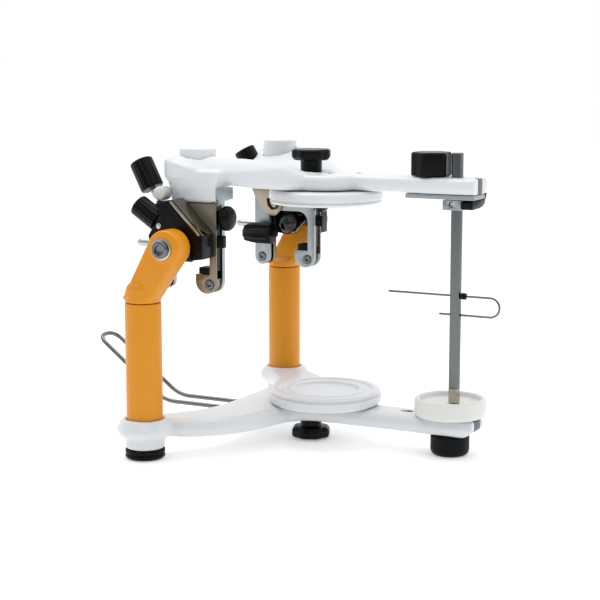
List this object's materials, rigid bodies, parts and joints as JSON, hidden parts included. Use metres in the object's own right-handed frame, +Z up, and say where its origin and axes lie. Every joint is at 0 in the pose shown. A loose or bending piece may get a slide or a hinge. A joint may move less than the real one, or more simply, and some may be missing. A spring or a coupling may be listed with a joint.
{
  "type": "dental articulator",
  "caption": "Dental articulator with a hinged upper member on orange columns, condylar guides, mounting plates, incisal pin with pointer and a cup-shaped incisal table.",
  "frame": {"origin": "on the ground under the middle of the bounding box", "axes": "+X to the patient's left, +Y to the back, away from the incisal pin, +Z up"},
  "size_m": [0.2014, 0.2627, 0.1725],
  "materials": {
    "white_paint": "smooth satin white",
    "white_plastic": "smooth, slightly warm white",
    "orange_anodised": "semi-gloss orange",
    "black_plastic": "glossy black",
    "black_rubber": "matt black",
    "polished_steel": "polished",
    "satin_steel": "satin nickel-plated"
  },
  "bodies": {
    "lower_member": {"lower_frame": "white_paint", "lower_mounting_plate": "white_paint", "incisal_table": "white_plastic", "front_foot": "black_rubber", "lower_bar_insert": "black_plastic", "rear_support": "polished_steel", "rear_foot_right": "black_rubber", "rear_foot_left": "black_rubber", "column_right": "orange_anodised", "column_left": "orange_anodised", "column_head_right": "orange_anodised", "column_head_left": "orange_anodised", "axle_screw_right": "polished_steel", "axle_screw_left": "polished_steel", "axle_washer_right": "polished_steel", "axle_washer_left": "polished_steel"},
    "lower_plate_screw": {"lower_plate_knob": "black_plastic"},
    "condyles": {"condyle_ball_right": "black_plastic", "condyle_ball_left": "black_plastic"},
    "upper_member": {"upper_frame": "white_paint", "upper_mounting_plate": "white_paint", "clamp_plate": "satin_steel", "clamp_block": "satin_steel", "upper_bar_insert": "black_plastic", "housing_cap_right": "white_paint", "housing_cap_left": "white_paint", "condylar_bracket_right": "satin_steel", "condylar_bracket_left": "satin_steel", "bracket_screw_front_right": "polished_steel", "bracket_screw_front_left": "polished_steel", "bracket_screw_rear_right": "polished_steel", "bracket_screw_rear_left": "polished_steel", "guide_box_right": "black_plastic", "guide_box_left": "black_plastic", "guide_strip_right": "satin_steel", "guide_strip_left": "satin_steel", "shift_stop_right": "white_plastic", "shift_stop_left": "white_plastic", "latch_pad_right": "black_rubber", "latch_pad_left": "black_rubber", "facebow_pin_right": "polished_steel", "facebow_pin_left": "polished_steel"},
    "upper_plate_screw": {"upper_plate_knob": "black_plastic"},
    "pin_clamp_screw": {"pin_clamp_knob": "black_plastic"},
    "incisal_pin_assembly": {"incisal_pin": "polished_steel", "pointer_collar": "black_plastic"},
    "pointer": {"pointer_wire": "polished_steel"},
    "pin_lever": {"pin_lock_lever": "black_plastic"},
    "inclination_knob_right_turning": {"inclination_knob_right": "black_plastic"},
    "protrusion_knob_right_turning": {"protrusion_knob_right": "black_plastic"},
    "side_shift_knob_right_turning": {"side_shift_knob_right": "black_plastic"},
    "centric_lock_knob_right_turning": {"centric_lock_knob_right": "black_plastic"},
    "latch_right": {"latch_bar_right": "black_plastic"},
    "inclination_knob_left_turning": {"inclination_knob_left": "black_plastic"},
    "protrusion_knob_left_turning": {"protrusion_knob_left": "black_plastic"},
    "side_shift_knob_left_turning": {"side_shift_knob_left": "black_plastic"},
    "centric_lock_knob_left_turning": {"centric_lock_knob_left": "black_plastic"},
    "latch_left": {"latch_bar_left": "black_plastic"}
  },
  "joints": [
    {"name": "opening", "type": "hinge", "parent": "lower_member", "child": "condyles", "pos_m": [0, 0.0295, 0.1198], "axis": [-1, 0, 0], "range_deg": [0, 75]},
    {"name": "protrusion", "type": "slide", "parent": "condyles", "child": "upper_member", "axis": [0, 0.7071, 0.7071], "range_m": [0, 0.005]},
    {"name": "lower_plate_screw_turn", "type": "hinge", "parent": "lower_member", "child": "lower_plate_screw", "pos_m": [0, -0.0144, 0.004], "axis": [0, 0, 1], "continuous": true},
    {"name": "upper_plate_screw_turn", "type": "hinge", "parent": "upper_member", "child": "upper_plate_screw", "pos_m": [0, -0.0144, 0.167], "axis": [0, 0, 1], "continuous": true},
    {"name": "pin_clamp_turn", "type": "hinge", "parent": "upper_member", "child": "pin_clamp_screw", "pos_m": [0, -0.0892, 0.165], "axis": [0, 0, 1], "continuous": true},
    {"name": "pin_height", "type": "slide", "parent": "upper_member", "child": "incisal_pin_assembly", "axis": [0, 0, 1], "range_m": [0, 0.02]},
    {"name": "pointer_reach", "type": "slide", "parent": "incisal_pin_assembly", "child": "pointer", "axis": [0, 1, 0], "range_m": [-0.006, 0.012]},
    {"name": "pin_lever_turn", "type": "hinge", "parent": "upper_member", "child": "pin_lever", "pos_m": [-0.0052, -0.1134, 0.1424], "axis": [0, 1, 0], "range_deg": [0, 25]},
    {"name": "inclination_knob_right_turn", "type": "hinge", "parent": "upper_member", "child": "inclination_knob_right_turning", "pos_m": [-0.0615, 0.0548, 0.1496], "axis": [0.0816, 0.4951, 0.865], "continuous": true},
    {"name": "protrusion_knob_right_turn", "type": "hinge", "parent": "upper_member", "child": "protrusion_knob_right_turning", "pos_m": [-0.072, 0.0443, 0.1324], "axis": [0, 0.8365, 0.548], "continuous": true},
    {"name": "side_shift_knob_right_turn", "type": "hinge", "parent": "upper_member", "child": "side_shift_knob_right_turning", "pos_m": [-0.0484, 0.0366, 0.1136], "axis": [0, 1, 0], "continuous": true},
    {"name": "centric_lock_knob_right_turn", "type": "hinge", "parent": "upper_member", "child": "centric_lock_knob_right_turning", "pos_m": [-0.0594, 0.0113, 0.1346], "axis": [0, -1, 0], "continuous": true},
    {"name": "latch_right_slide", "type": "slide", "parent": "upper_member", "child": "latch_right", "axis": [0, 0, -1], "range_m": [0, 0.004]},
    {"name": "inclination_knob_left_turn", "type": "hinge", "parent": "upper_member", "child": "inclination_knob_left_turning", "pos_m": [0.0615, 0.0548, 0.1496], "axis": [-0.0816, 0.4951, 0.865], "continuous": true},
    {"name": "protrusion_knob_left_turn", "type": "hinge", "parent": "upper_member", "child": "protrusion_knob_left_turning", "pos_m": [0.072, 0.0443, 0.1324], "axis": [0, 0.8365, 0.548], "continuous": true},
    {"name": "side_shift_knob_left_turn", "type": "hinge", "parent": "upper_member", "child": "side_shift_knob_left_turning", "pos_m": [0.0484, 0.0366, 0.1136], "axis": [0, 1, 0], "continuous": true},
    {"name": "centric_lock_knob_left_turn", "type": "hinge", "parent": "upper_member", "child": "centric_lock_knob_left_turning", "pos_m": [0.0594, 0.0113, 0.1346], "axis": [0, -1, 0], "continuous": true},
    {"name": "latch_left_slide", "type": "slide", "parent": "upper_member", "child": "latch_left", "axis": [0, 0, -1], "range_m": [0, 0.004]}
  ]
}
